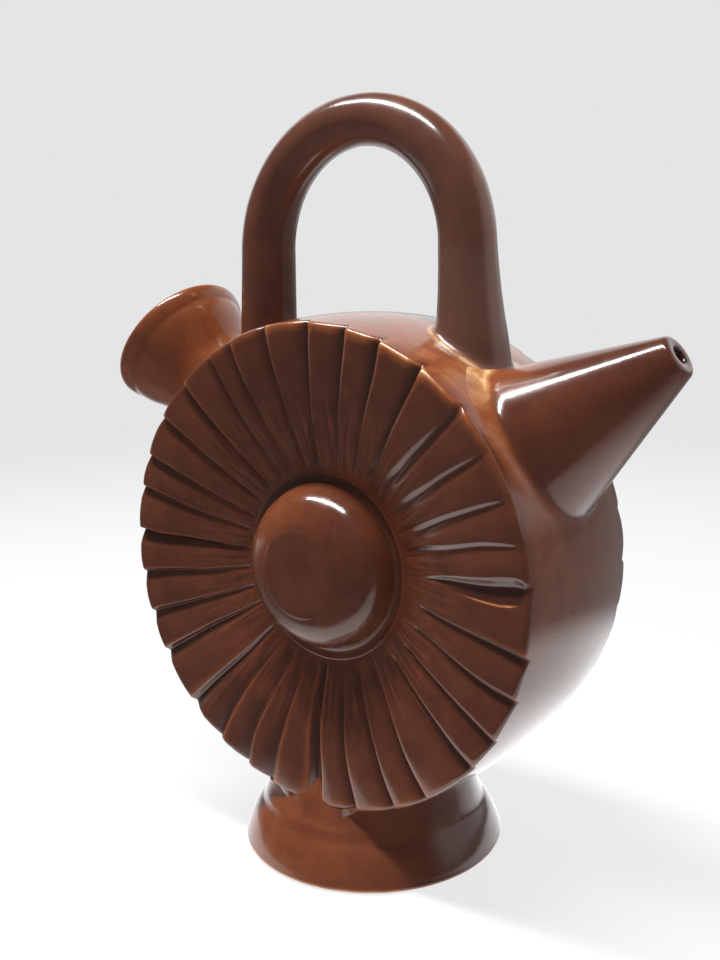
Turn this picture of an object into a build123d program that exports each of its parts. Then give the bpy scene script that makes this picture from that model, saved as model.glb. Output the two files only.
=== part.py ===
"""Spanish botijo: a water jug with a wheel-shaped body, gouged faces, a spout, a filler and a handle.

The body is a drum on its side. Its axis runs along Y, and its front face looks towards -Y.
The origin is on the surface that the jug stands on, midway between the ends of its spout and filler.
The spout points to +X and the filler to -X.
"""

import os
from math import cos, hypot, radians, sin, sqrt

from build123d import *

os.makedirs("parts", exist_ok=True)

# Drum
drum_rim_radius = 92.0
drum_width = 78.0
drum_bulge = 3.0
drum_rim_clearance = 26.0
clay_wall = 6.5

# Gouged faces
face_edge_width = 7.0
face_edge_round = 2.5
face_dish_depth = 11.0
face_swell = 2.0
gouge_count = 32
gouge_inner_depth = 0.9
gouge_rim_depth = 3.2
gouge_inner_width = 4.6
gouge_rim_width = 9.6
gouge_root_round = 0.9
gouge_steep_share = 0.3
gouge_station_shares = (0.0, 0.35, 0.7, 1.0)

# Boss in the middle of each face
boss_ring_radius = 36.6
boss_ring_height = 1.8
boss_ring_width = 2.2
boss_dome_radius = 32.4
boss_height = 16.2
boss_cap_radius = 16.5
boss_cap_round = 1.6
boss_swell = 2.7
boss_wall = 5.5
boss_seat_margin = 1.0

# Foot
foot_radius = 53.0
foot_edge_round = 1.2
foot_ring_width = 6.5
foot_shoulder_height = 14.8
foot_shoulder_radius = 46.4
foot_crease_radius = 44.8
foot_crease_height = 17.0
foot_neck_radius = 41.2
foot_neck_overlap = 4.0
foot_flare_swell = 1.0
foot_wall = 6.2

# Spout
spout_angle = 32.5
spout_length = 57.5
spout_root_radius = 29.0
spout_tip_radius = 6.6
spout_tip_round = 2.4
spout_bore_radius = 2.8
spout_bore_length = 8.0
spout_root_round = 4.5
spout_wall_hole_radius = 10.0

# Filler mouth
filler_angle = 39.5
filler_length = 42.0
filler_rim_radius = 31.8
filler_lip_round = 2.9
filler_lip_height = 9.0
filler_waist_radius = 21.0
filler_waist_rise = 12.0
filler_root_radius = 22.4
filler_bore_radius = 14.5
filler_bore_length = 12.0
filler_root_round = 5.0
filler_clearance = 1.5
bell_mid_share = 0.38

# Handle
handle_crown_radius = 47.0
handle_crown_rise = 26.6
handle_splay = 2.5
handle_grip_radius = 9.4

# Handle thickness at even steps from the left foot to the right foot, as shares of the grip
handle_left_leg_shares = (1.3, 1.25, 1.2)
handle_crown_shares = (1.17, 1.15, 1.1, 1.03, 1.0, 1.03, 1.08, 1.1, 1.12)
handle_right_leg_shares = (1.2, 1.42, 1.6)

# How far blending pieces reach below the drum's skin, and how far cutters overrun
root_sink = 0.8
overrun = 4.0

# Lengths beyond the drum's rim are counted from it, along the spokes that the pieces stand on
drum_centre_height = drum_rim_clearance + drum_rim_radius
foot_neck_height = drum_rim_clearance + foot_neck_overlap
spout_reach = drum_rim_radius + spout_length
filler_reach = drum_rim_radius + filler_length
filler_waist_reach = drum_rim_radius + filler_waist_rise
handle_crown_height = drum_centre_height + drum_rim_radius + handle_crown_rise

# Midway between the ends of the spout and the filler is zero, so the drum stands a little to one side
spout_end = spout_reach * cos(radians(spout_angle)) + spout_tip_radius * sin(radians(spout_angle))
filler_end = filler_reach * cos(radians(filler_angle)) + filler_rim_radius * sin(radians(filler_angle))
drum_centre = Vector((filler_end - spout_end) / 2, 0, drum_centre_height)
foot_centre = Vector(drum_centre.X, 0, 0)
half_width = drum_width / 2
barrel_curve_radius = (drum_bulge**2 + half_width**2) / (2 * drum_bulge)
seam_offset = half_width - face_edge_width


def barrel_radius(offset):
    """Radius of the drum's skin at a distance along its axis from the middle."""
    return drum_rim_radius + drum_bulge - barrel_curve_radius + sqrt(barrel_curve_radius**2 - offset**2)


def solid_drum(sink):
    """The whole body as one solid, its skin lowered by sink, with straight ends past the foot."""
    reach = half_width + foot_radius
    with BuildPart() as body:
        with BuildSketch(Plane(drum_centre)):
            with BuildLine():
                ThreePointArc(
                    (drum_rim_radius - sink, -half_width),
                    (drum_rim_radius + drum_bulge - sink, 0),
                    (drum_rim_radius - sink, half_width),
                )
                Polyline(
                    (drum_rim_radius - sink, half_width),
                    (drum_rim_radius - sink, reach),
                    (0, reach),
                    (0, -reach),
                    (drum_rim_radius - sink, -reach),
                    (drum_rim_radius - sink, -half_width),
                )
            make_face()
        revolve(axis=Axis(drum_centre, (0, 1, 0)))
    return body.part


drum_skin = solid_drum(0)
drum_core = solid_drum(root_sink)


def spoke_plane(angle_from_x):
    """Plane through the drum's axis, with its Y along a spoke at this angle and its X downhill."""
    turn = radians(angle_from_x)
    return Plane(origin=drum_centre, x_dir=(sin(turn), 0, -cos(turn)), z_dir=(0, -1, 0))


# Drum wall: a barrel ring with a hole under the spout and one under the filler
spout_plane = spoke_plane(spout_angle)
filler_plane = spoke_plane(180 - filler_angle)
spout_axis = Axis(drum_centre, spout_plane.y_dir)
filler_axis = Axis(drum_centre, filler_plane.y_dir)

with BuildPart() as drum_wall:
    with BuildSketch(Plane(drum_centre)):
        with BuildLine():
            outer = ThreePointArc(
                (barrel_radius(seam_offset), -seam_offset),
                (drum_rim_radius + drum_bulge, 0),
                (barrel_radius(seam_offset), seam_offset),
            )
            inner = ThreePointArc(
                (drum_rim_radius - clay_wall, -seam_offset),
                (drum_rim_radius + drum_bulge - clay_wall, 0),
                (drum_rim_radius - clay_wall, seam_offset),
            )
            Line(outer @ 0, inner @ 0)
            Line(outer @ 1, inner @ 1)
        make_face()
    revolve(axis=Axis(drum_centre, (0, 1, 0)))
    hole_depth = drum_rim_radius + drum_bulge + overrun
    for axis, radius in (
        (spout_axis, spout_wall_hole_radius),
        (filler_axis, filler_bore_radius + filler_clearance),
    ):
        with BuildSketch(Plane(origin=drum_centre, z_dir=axis.direction)):
            Circle(radius)
        extrude(amount=hole_depth, mode=Mode.SUBTRACT)
drum_wall.part.label = "drum_wall"
export_step(drum_wall.part, "parts/drum_wall.step")

# One gouged face in its own frame: Z points out of the jug and the rim plane is at zero
boss_seat_radius = boss_ring_radius + boss_seat_margin
boss_hole_radius = boss_dome_radius - boss_wall
face_run = drum_rim_radius - boss_seat_radius
face_chord = hypot(face_run, face_dish_depth)
face_curve_radius = (face_swell**2 + (face_chord / 2) ** 2) / (2 * face_swell)
face_curve_x = (drum_rim_radius + boss_seat_radius) / 2 + (
    face_dish_depth / face_chord * (face_curve_radius - face_swell)
)
face_curve_z = -face_dish_depth / 2 - face_run / face_chord * (face_curve_radius - face_swell)


def face_level(radius):
    """Height of the face's curved surface, counted outwards from the rim plane."""
    return face_curve_z + sqrt(face_curve_radius**2 - (radius - face_curve_x) ** 2)


with BuildPart() as gouge_cutter:
    gouge_start = boss_seat_radius
    gouge_end = drum_rim_radius + overrun
    for share in gouge_station_shares:
        station = gouge_start + (gouge_end - gouge_start) * share
        depth = gouge_inner_depth + (gouge_rim_depth - gouge_inner_depth) * share
        width = gouge_inner_width + (gouge_rim_width - gouge_inner_width) * share
        steep = width * gouge_steep_share
        gentle = width - steep
        with BuildSketch(Plane(origin=(station, 0, face_level(station)), x_dir=(0, 1, 0), z_dir=(1, 0, 0))):
            with BuildLine():
                Polyline((-2 * steep, depth), (0, -depth), (2 * gentle, depth), close=True)
            make_face()
            fillet(vertices().sort_by(Axis.Y)[0], radius=gouge_root_round)
    loft()

with BuildPart() as rosette:
    mid_radius = (drum_rim_radius + boss_seat_radius) / 2
    back_dish = face_dish_depth + clay_wall
    back_rim_radius = drum_rim_radius - clay_wall
    with BuildSketch(Plane.XZ):
        with BuildLine():
            Polyline(
                (drum_rim_radius, 0),
                (barrel_radius(seam_offset), -face_edge_width),
                (back_rim_radius, -face_edge_width),
            )
            ThreePointArc(
                (back_rim_radius, -face_edge_width),
                (mid_radius, face_level(mid_radius) - clay_wall),
                (boss_seat_radius, -back_dish),
            )
            Polyline(
                (boss_seat_radius, -back_dish),
                (boss_hole_radius, -back_dish),
                (boss_hole_radius, -face_dish_depth),
                (boss_seat_radius, -face_dish_depth),
            )
            ThreePointArc(
                (boss_seat_radius, -face_dish_depth),
                (mid_radius, face_level(mid_radius)),
                (drum_rim_radius, 0),
            )
        make_face()
        fillet(vertices().sort_by(Axis.Y)[-1], radius=face_edge_round)
    revolve(axis=Axis.Z)
    with PolarLocations(0, gouge_count):
        add(gouge_cutter.part, mode=Mode.SUBTRACT)

# One boss in the same frame: a hollow dome with a flat cap, ringed by a thin bead
with BuildPart() as dome:
    base = -face_dish_depth
    cap = base + boss_height
    bead_inner = boss_ring_radius - boss_ring_width
    valley = base + boss_ring_height / 2
    cavity_top = cap - boss_wall
    with BuildSketch(Plane.XZ):
        with BuildLine():
            dome_start = (boss_dome_radius, valley)
            dome_end = (boss_cap_radius, cap - boss_cap_round / 2)
            SagittaArc(dome_end, dome_start, boss_swell)
            Polyline(dome_end, (boss_cap_radius - boss_cap_round, cap), (0, cap), (0, cavity_top))
            SagittaArc((boss_cap_radius - boss_cap_round, cavity_top), (boss_hole_radius, base), boss_swell)
            Line((0, cavity_top), (boss_cap_radius - boss_cap_round, cavity_top))
            Polyline((boss_hole_radius, base), (boss_ring_radius, base), (boss_ring_radius, valley))
            ThreePointArc(
                (boss_ring_radius, valley),
                (boss_ring_radius - boss_ring_width / 2, base + boss_ring_height),
                (bead_inner, valley),
            )
            Line((bead_inner, valley), dome_start)
        make_face()
    revolve(axis=Axis.Z)

# The same rosette and dome stand on both ends of the drum
front_plane = Plane(origin=drum_centre - (0, half_width, 0), x_dir=(1, 0, 0), z_dir=(0, -1, 0))
back_plane = Plane(origin=drum_centre + (0, half_width, 0), x_dir=(-1, 0, 0), z_dir=(0, 1, 0))

for side, side_plane in (("front", front_plane), ("back", back_plane)):
    for shape, part_name in ((rosette, "face"), (dome, "boss")):
        with BuildPart() as placed:
            with Locations(side_plane.location):
                add(shape.part)
        placed.part.label = f"{side}_{part_name}"
        export_step(placed.part, f"parts/{side}_{part_name}.step")

# Foot: a thrown bell, open underneath, whose neck is fitted to the drum
with BuildPart() as foot:
    with BuildSketch(Plane(foot_centre, x_dir=(1, 0, 0), z_dir=(0, -1, 0))):
        inner_rest = foot_radius - foot_edge_round - foot_ring_width
        neck_bore = foot_neck_radius - foot_wall
        crease_bore = foot_crease_radius - foot_wall
        with BuildLine():
            neck = Polyline(
                (foot_neck_radius, foot_neck_height),
                (foot_crease_radius, foot_crease_height),
                (foot_shoulder_radius, foot_shoulder_height),
            )
            SagittaArc((foot_radius, foot_edge_round), neck @ 1, foot_flare_swell)
            Polyline(
                (foot_radius, foot_edge_round),
                (foot_radius - foot_edge_round, 0),
                (inner_rest, 0),
                (crease_bore, foot_shoulder_height),
                (neck_bore, foot_neck_height),
                neck @ 0,
            )
        make_face()
    revolve(axis=Axis(foot_centre, (0, 0, 1)))
    add(drum_skin, mode=Mode.SUBTRACT)
foot.part.label = "foot"
export_step(foot.part, "parts/foot.step")

# Spout: a straight cone with a drinking bore, flared where it joins the drum
root_reach = drum_rim_radius / 2
spout_slope = (spout_root_radius - spout_tip_radius) / spout_length
spout_bore_end = spout_reach - spout_bore_length

with BuildPart() as spout_blank:
    with BuildSketch(spout_plane):
        with BuildLine():
            Polyline(
                (0, root_reach),
                (spout_tip_radius + (spout_reach - root_reach) * spout_slope, root_reach),
                (spout_tip_radius, spout_reach),
                (0, spout_reach),
                close=True,
            )
        make_face()
    revolve(axis=spout_axis)
    tip_edge = edges().filter_by(GeomType.CIRCLE).sort_by(SortBy.RADIUS)[0]
    fillet(tip_edge, radius=spout_tip_round)
    add(drum_core)
    fillet(edges(Select.NEW), radius=spout_root_round)
    add(drum_skin, mode=Mode.SUBTRACT)

with BuildPart() as spout:
    add(spout_blank.part)
    with BuildSketch(spout_plane):
        with BuildLine():
            Polyline(
                (0, root_reach),
                (spout_bore_radius + (spout_bore_end - root_reach) * spout_slope, root_reach),
                (spout_bore_radius, spout_bore_end),
                (spout_bore_radius, spout_reach + overrun),
                (0, spout_reach + overrun),
                close=True,
            )
        make_face()
    revolve(axis=spout_axis, mode=Mode.SUBTRACT)
spout.part.label = "spout"
export_step(spout.part, "parts/spout.step")

# Filler mouth: a waisted neck that opens into a bell with a thick rounded lip
filler_bore_start = drum_rim_radius + drum_bulge + filler_clearance
filler_bore_end = filler_bore_start + filler_bore_length
lip_start = filler_reach - filler_lip_height
lip_mouth_radius = filler_rim_radius - filler_lip_round * 2

with BuildPart() as filler_blank:
    with BuildSketch(filler_plane):
        with BuildLine():
            Polyline(
                (0, root_reach),
                (filler_root_radius, root_reach),
                (filler_waist_radius, filler_waist_reach),
            )
            bell_rise = lip_start - filler_waist_reach
            bell_spread = filler_rim_radius - filler_lip_round / 2 - filler_waist_radius
            ThreePointArc(
                (filler_waist_radius, filler_waist_reach),
                (filler_waist_radius + bell_spread * bell_mid_share, filler_waist_reach + bell_rise / 2),
                (filler_waist_radius + bell_spread, lip_start),
            )
            ThreePointArc(
                (filler_waist_radius + bell_spread, lip_start),
                (filler_rim_radius, filler_reach - filler_lip_height / 2),
                (filler_rim_radius - filler_lip_round, filler_reach),
            )
            Polyline((filler_rim_radius - filler_lip_round, filler_reach), (0, filler_reach), (0, root_reach))
        make_face()
    revolve(axis=filler_axis)
    add(drum_core)
    fillet(edges(Select.NEW), radius=filler_root_round)
    add(drum_skin, mode=Mode.SUBTRACT)

with BuildPart() as filler_mouth:
    add(filler_blank.part)
    with BuildSketch(filler_plane):
        with BuildLine():
            Polyline(
                (0, root_reach),
                (filler_bore_radius + filler_clearance, root_reach),
                (filler_bore_radius + filler_clearance, filler_bore_start),
                (filler_bore_radius, filler_bore_start),
                (filler_bore_radius, filler_bore_end),
            )
            funnel_rise = filler_reach - filler_bore_end
            funnel_spread = lip_mouth_radius - filler_bore_radius
            ThreePointArc(
                (filler_bore_radius, filler_bore_end),
                (filler_bore_radius + funnel_spread * bell_mid_share, filler_bore_end + funnel_rise / 2),
                (lip_mouth_radius, filler_reach),
            )
            Polyline((lip_mouth_radius, filler_reach), (0, filler_reach), (0, root_reach))
        make_face()
    revolve(axis=filler_axis, mode=Mode.SUBTRACT)
filler_mouth.part.label = "filler_mouth"
export_step(filler_mouth.part, "parts/filler_mouth.step")

# Handle: a pulled round roll, thickest at its feet, arched over the drum in the plane of the spout
handle_root_radius = handle_grip_radius * max(handle_left_leg_shares + handle_right_leg_shares)
handle_root_spread = handle_crown_radius + handle_splay + handle_root_radius
handle_root_height = drum_centre_height + sqrt(drum_rim_radius**2 - handle_root_spread**2) - root_sink


def leg_station(side, down):
    """Plane across a leg, given the leg's side and how far down it lies as a share of the leg."""
    x = drum_centre.X + side * (handle_crown_radius + handle_splay * down)
    z = handle_crown_height - (handle_crown_height - handle_root_height) * down
    return Plane(origin=(x, 0, z), x_dir=(0, 1, 0), z_dir=(0, 0, -side))


def crown_station(angle):
    """Plane across the crown arc at an angle from +X."""
    turn = radians(angle)
    x = drum_centre.X + handle_crown_radius * cos(turn)
    z = handle_crown_height + handle_crown_radius * sin(turn)
    return Plane(origin=(x, 0, z), x_dir=(0, 1, 0), z_dir=(sin(turn), 0, -cos(turn)))


left_leg_steps = len(handle_left_leg_shares)
right_leg_steps = len(handle_right_leg_shares)
crown_steps = len(handle_crown_shares) - 1
handle_stations = [leg_station(-1, 1 - step / left_leg_steps) for step in range(left_leg_steps)]
handle_stations += [crown_station(180 - 180 * step / crown_steps) for step in range(crown_steps + 1)]
handle_stations += [leg_station(1, (step + 1) / right_leg_steps) for step in range(right_leg_steps)]
handle_shares = handle_left_leg_shares + handle_crown_shares + handle_right_leg_shares

with BuildPart() as handle:
    for station_plane, share in zip(handle_stations, handle_shares):
        with BuildSketch(station_plane):
            Circle(handle_grip_radius * share)
    loft()
    add(drum_skin, mode=Mode.SUBTRACT)
    add(spout_blank.part, mode=Mode.SUBTRACT)
    add(filler_blank.part, mode=Mode.SUBTRACT)
handle.part.label = "handle"
export_step(handle.part, "parts/handle.step")
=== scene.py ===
"""Spanish botijo: the glazed skin of a wheel-shaped water jug, on a pale studio floor.

Lengths are written in millimetres and turned into metres by MM. The drum's axis runs along Y, its gouged
front face looks towards -Y, the spout points to +X and the filler to -X.
"""
import math
import random

import bmesh
import bpy
import numpy as np
from mathutils import Matrix, Vector, noise

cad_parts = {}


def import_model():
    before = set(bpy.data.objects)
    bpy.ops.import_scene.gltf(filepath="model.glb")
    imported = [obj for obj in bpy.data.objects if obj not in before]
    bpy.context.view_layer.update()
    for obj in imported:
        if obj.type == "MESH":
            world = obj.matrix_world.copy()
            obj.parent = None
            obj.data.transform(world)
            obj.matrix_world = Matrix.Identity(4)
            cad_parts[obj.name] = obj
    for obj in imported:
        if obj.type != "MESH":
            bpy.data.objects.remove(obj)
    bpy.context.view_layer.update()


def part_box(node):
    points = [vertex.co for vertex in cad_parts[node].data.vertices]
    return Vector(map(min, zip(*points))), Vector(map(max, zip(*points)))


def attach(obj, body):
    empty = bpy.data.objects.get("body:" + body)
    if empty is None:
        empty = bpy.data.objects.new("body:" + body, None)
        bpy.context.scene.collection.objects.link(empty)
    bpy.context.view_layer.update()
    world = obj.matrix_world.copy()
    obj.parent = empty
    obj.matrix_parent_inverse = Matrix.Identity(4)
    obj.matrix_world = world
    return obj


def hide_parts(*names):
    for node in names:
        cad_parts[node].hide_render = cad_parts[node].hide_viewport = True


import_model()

MM = 0.001

# Places from the frame
drum_low, drum_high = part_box("drum_wall")
drum_x = (drum_low.x + drum_high.x) / 2
drum_z = (drum_low.z + drum_high.z) / 2
belly_radius = (drum_high.x - drum_low.x) / 2
handle_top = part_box("handle")[1].z
foot_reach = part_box("foot")[1].y

# Drum
half_width = 39 * MM
rim_radius = belly_radius - 3 * MM
seam_depth = 7 * MM
clay_wall = 6.5 * MM
rim_round = 1.9 * MM
ring_radius = 36.6 * MM
ring_depth = 11 * MM

# Spout, as distances along its spoke from the drum's centre
spout_angle = math.radians(32.5)
spout_reach = 149.4 * MM
spout_tip_radius = 6.6 * MM
spout_root_radius = 29 * MM
spout_bore_radius = 2.8 * MM

# Filler, with its neck's end as a distance along its spoke from the drum's centre
filler_angle = math.radians(39.5)
filler_neck_radius = 20.6 * MM
filler_neck_end = 103 * MM
filler_bore_radius = 14.5 * MM

# Handle
crown_radius = 47 * MM
grip_radius = 9.38 * MM
crown_height = handle_top - crown_radius - 9.4 * MM
leg_splay = 2.5 * MM

# Meshes
weld_distance = 0.004 * MM
crisp_angle = math.radians(62)
spoke_points = 220

# Camera, as an orbit round the jug's middle
camera_azimuth = math.radians(36.8)
camera_elevation = math.radians(9.69)
camera_roll = math.radians(-1.35)
camera_distance = 401.6 * MM
camera_target = Vector((drum_x - 3.07 * MM, 0, 146.6 * MM))
film_width = 36
focal_share = 1.0481

random.seed(7)


# Mesh tools

def barrel_radius(y):
    """Radius of the drum's skin at a distance along its axis."""
    swell = belly_radius - rim_radius
    curve = (swell ** 2 + half_width ** 2) / (2 * swell)
    return belly_radius - curve + np.sqrt(curve ** 2 - np.minimum(np.abs(y), half_width) ** 2)


def skin_height(points):
    """How far points lie outside the drum's skin, measured from the drum's axis."""
    return np.hypot(points[..., 0] - drum_x, points[..., 2] - drum_z) - barrel_radius(points[..., 1])


def lift_to(points, height):
    """Points moved along the drum's radius until they lie this high over its skin."""
    x, z = points[..., 0] - drum_x, points[..., 2] - drum_z
    scale = (barrel_radius(points[..., 1]) + height) / np.hypot(x, z)
    return np.stack([drum_x + x * scale, points[..., 1], drum_z + z * scale], -1)


def smooth_curve(points, steps):
    """Points along a smooth curve through a few given ones, with this many steps between each two."""
    p = np.array(points, float)
    p = np.vstack([2 * p[0] - p[1], p, 2 * p[-1] - p[-2]])
    t = np.linspace(0, 1, steps, endpoint=False)[:, None]
    out = []
    for a, b, c, d in zip(p[:-3], p[1:-2], p[2:-1], p[3:]):
        out.append(((2 * b) + (c - a) * t + (2 * a - 5 * b + 4 * c - d) * t ** 2
                    + (3 * b - a - 3 * c + d) * t ** 3) / 2)
    return np.vstack(out + [p[-2:-1]])


def smooth_step(low, high, value):
    """0 below low, 1 above high and an even rise between them."""
    t = np.clip((value - low) / (high - low), 0, 1)
    return t * t * (3 - 2 * t)


def hump(value, middle, spread):
    """1 where the value is at the middle, fading softly to 0 on both sides of it."""
    return np.exp(-((value - middle) / spread) ** 2)


def full_turn(count):
    """Evenly spaced angles, once round."""
    return np.linspace(0, 2 * math.pi, count, endpoint=False)


def ring_quads(rows, columns):
    """Faces between neighbouring rings. Each ring closes on itself, and the last ring meets the first."""
    row, column = np.meshgrid(np.arange(rows), np.arange(columns), indexing="ij")
    across, along = (column + 1) % columns, (row + 1) % rows
    return np.stack([row * columns + column, row * columns + across,
                     along * columns + across, along * columns + column], -1)


def build(name, grid, node, thin=0.0, pool_and_shade=0.0, matt_and_lit=0.0, quads=None):
    """A glazed piece from a grid of points, which are rings unless its faces are given."""
    rows, columns = grid.shape[:2]
    if quads is None:
        quads = ring_quads(rows, columns)
    mesh = bpy.data.meshes.new(name)
    mesh.from_pydata(grid.reshape(-1, 3).tolist(), [], quads.reshape(-1, 4).tolist())
    for mask, amount in (("thin_glaze_and_painted_light", thin), ("deep_glaze_and_painted_shade", pool_and_shade), ("matt_glaze_and_painted_light", matt_and_lit)):
        layer = mesh.attributes.new(mask, "FLOAT", "POINT")
        layer.data.foreach_set("value", np.broadcast_to(amount, (rows, columns)).astype(np.float32).ravel())
    tidy = bmesh.new()
    tidy.from_mesh(mesh)
    bmesh.ops.remove_doubles(tidy, verts=tidy.verts, dist=weld_distance)
    bmesh.ops.recalc_face_normals(tidy, faces=tidy.faces)
    tidy.to_mesh(mesh)
    tidy.free()
    mesh.polygons.foreach_set("use_smooth", np.ones(len(mesh.polygons), bool))
    mesh.set_sharp_from_angle(angle=crisp_angle)
    piece = bpy.data.objects.new(name, mesh)
    bpy.context.scene.collection.objects.link(piece)
    mesh.materials.append(glaze)
    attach(piece, "root")
    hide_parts(node)
    return piece


def spoke_frame(angle, side):
    """Origin and axes of a spoke: its own direction, and the two directions round it."""
    along = np.array([side * math.cos(angle), 0, math.sin(angle)])
    forward = np.array([0, -1.0, 0])
    return np.array([drum_x, 0, drum_z]), along, forward, np.cross(along, forward)


def round_spoke(turn, spoke):
    """Directions straight away from a spoke, at each angle round it."""
    forward, up = spoke[2:]
    return np.cos(turn)[:, None] * forward + np.sin(turn)[:, None] * up


def turned(profile, spoke):
    """Rings of a turned piece. The profile holds (reach, radius) pairs along the spoke."""
    origin, along = spoke[:2]
    out = round_spoke(full_turn(spoke_points), spoke)
    profile = np.array(profile)
    return origin + profile[:, 0, None, None] * along + profile[:, 1, None, None] * out


def root_flare(side, centre, low, high, rise, spread, steps):
    """Rings that carry a piece's side down in a fillet onto the drum's skin.

    side and centre give the piece's surface and its core at a distance along it. low lies inside the drum
    and high outside. rise and spread are the fillet's height and width, and may change round the piece.
    Returns the rings from the skin outwards, and the distance where they meet the side.
    """
    for _ in range(40):
        middle = (low + high) / 2
        inside = skin_height(side(middle)) < 0
        low, high = np.where(inside, middle, low), np.where(inside, high, middle)
    start = high + rise
    top, corner = side(start), side(high)
    away = corner - centre(high)
    normal = np.stack([corner[:, 0] - drum_x, 0 * corner[:, 0], corner[:, 2] - drum_z], -1)
    normal /= np.linalg.norm(normal, axis=1)[:, None]
    away -= (away * normal).sum(1)[:, None] * normal
    away /= np.linalg.norm(away, axis=1)[:, None]
    foot = corner + away * np.broadcast_to(spread, len(start))[:, None]
    rise_height = skin_height(top)
    rings = [lift_to(foot - away * 3 * MM, -4 * MM), lift_to(foot + away * 2.6 * MM, -0.5 * MM),
             lift_to(foot + away * 1.2 * MM, -0.05 * MM)]
    for t in np.linspace(1, 0, steps):
        point = (1 - t) ** 2 * top + 2 * t * (1 - t) * corner + t ** 2 * foot
        rings.append(lift_to(point, rise_height * (1 - t) ** 2))
    return np.array(rings), start


# Glaze

def skirt_glaze(grid, rows, band):
    """Thin-glaze mask of a flare: the drum wall's own at its edge, with a band of thin glaze over it."""
    turn = np.arctan2(grid[..., 2] - drum_z, grid[..., 0] - drum_x)
    row = np.arange(len(grid))[:, None]
    return wall_warmth(turn) * (1 - smooth_step(4, rows, row)) + band


class Socket:
    """A number, colour or vector on its way through a material, that plain arithmetic can be done with."""

    def __init__(self, recipe, socket):
        self.recipe, self.socket = recipe, socket

    def worked(self, operation, *values, clamp=False):
        return self.recipe.node("ShaderNodeMath", {"operation": operation, "use_clamp": clamp},
                                dict(enumerate(values)))

    def __add__(self, other):
        return self.worked("ADD", self, other)

    def __sub__(self, other):
        return self.worked("SUBTRACT", self, other)

    def __rsub__(self, other):
        return self.worked("SUBTRACT", other, self)

    def __mul__(self, other):
        return self.worked("MULTIPLY", self, other)

    def __pow__(self, other):
        return self.worked("POWER", self, other)

    __radd__, __rmul__ = __add__, __mul__

    def clipped(self):
        return self.worked("ADD", self, 0, clamp=True)


class Recipe:
    """One node tree, emptied and filled by its own calls."""

    def __init__(self, tree):
        self.tree = tree
        tree.nodes.clear()

    def node(self, kind, settings=None, values=None, output=0):
        """Adds a node, sets it up, feeds its sockets and returns one of its outputs."""
        made = self.tree.nodes.new(kind)
        for key, value in (settings or {}).items():
            setattr(made, key, value)
        for key, value in (values or {}).items():
            if isinstance(value, Socket):
                self.tree.links.new(value.socket, made.inputs[key])
            else:
                made.inputs[key].default_value = value
        return Socket(self, made.outputs[output]) if made.outputs else None

    def mix(self, factor, first, second):
        """Blends two colours."""
        return self.node("ShaderNodeMix", {"data_type": "RGBA"}, {0: factor, 6: first, 7: second}, 2)

    def noise(self, place, scale, detail):
        """Cloudy noise, at a scale counted per metre."""
        return self.node("ShaderNodeTexNoise", None,
                         {"Vector": place, "Scale": scale, "Detail": detail, "Roughness": 0.55})

    def ramp(self, value, low, high):
        """A number that rises from 0 to 1 as value goes from low to high."""
        return self.node("ShaderNodeMapRange", {"interpolation_type": "SMOOTHSTEP"},
                         {0: value, 1: low, 2: high, 3: 0.0, 4: 1.0})

    def mask(self, name):
        """A mask stored on a piece's points."""
        return self.node("ShaderNodeAttribute", {"attribute_name": name}, None, "Fac")

    def along(self, place, direction):
        """How far a place reaches along a direction."""
        return self.node("ShaderNodeVectorMath", {"operation": "DOT_PRODUCT"},
                         {0: place, 1: Vector(direction)}, "Value")

    def ray(self, kind):
        """1 for light paths of one kind, such as the camera's own, and 0 for the others."""
        return self.node("ShaderNodeLightPath", None, None, "Is " + kind + " Ray")


# Colours of the glaze over red clay. The pooled brown also paints shade, and the rust, tan, cream and pink
# also paint light and highlights
dark_honey = (0.078, 0.0225, 0.0125, 1)
light_honey = (0.112, 0.033, 0.0165, 1)
mottled_honey = (0.15, 0.043, 0.018, 1)
pooled_and_shaded_brown = (0.03, 0.011, 0.008, 1)
rusty_streak = (0.19, 0.045, 0.018, 1)
dark_streak = (0.04, 0.0135, 0.009, 1)
thin_rust_and_painted_light = (0.31, 0.083, 0.024, 1)
bare_tan_and_painted_highlight = (0.5, 0.235, 0.095, 1)
bare_cream_and_painted_highlight = (0.85, 0.52, 0.26, 1)
dulled_and_lit_pink = (0.2, 0.112, 0.088, 1)
pale_grain = (0.36, 0.13, 0.05, 1)
brown_grain = (0.035, 0.012, 0.008, 1)


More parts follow.
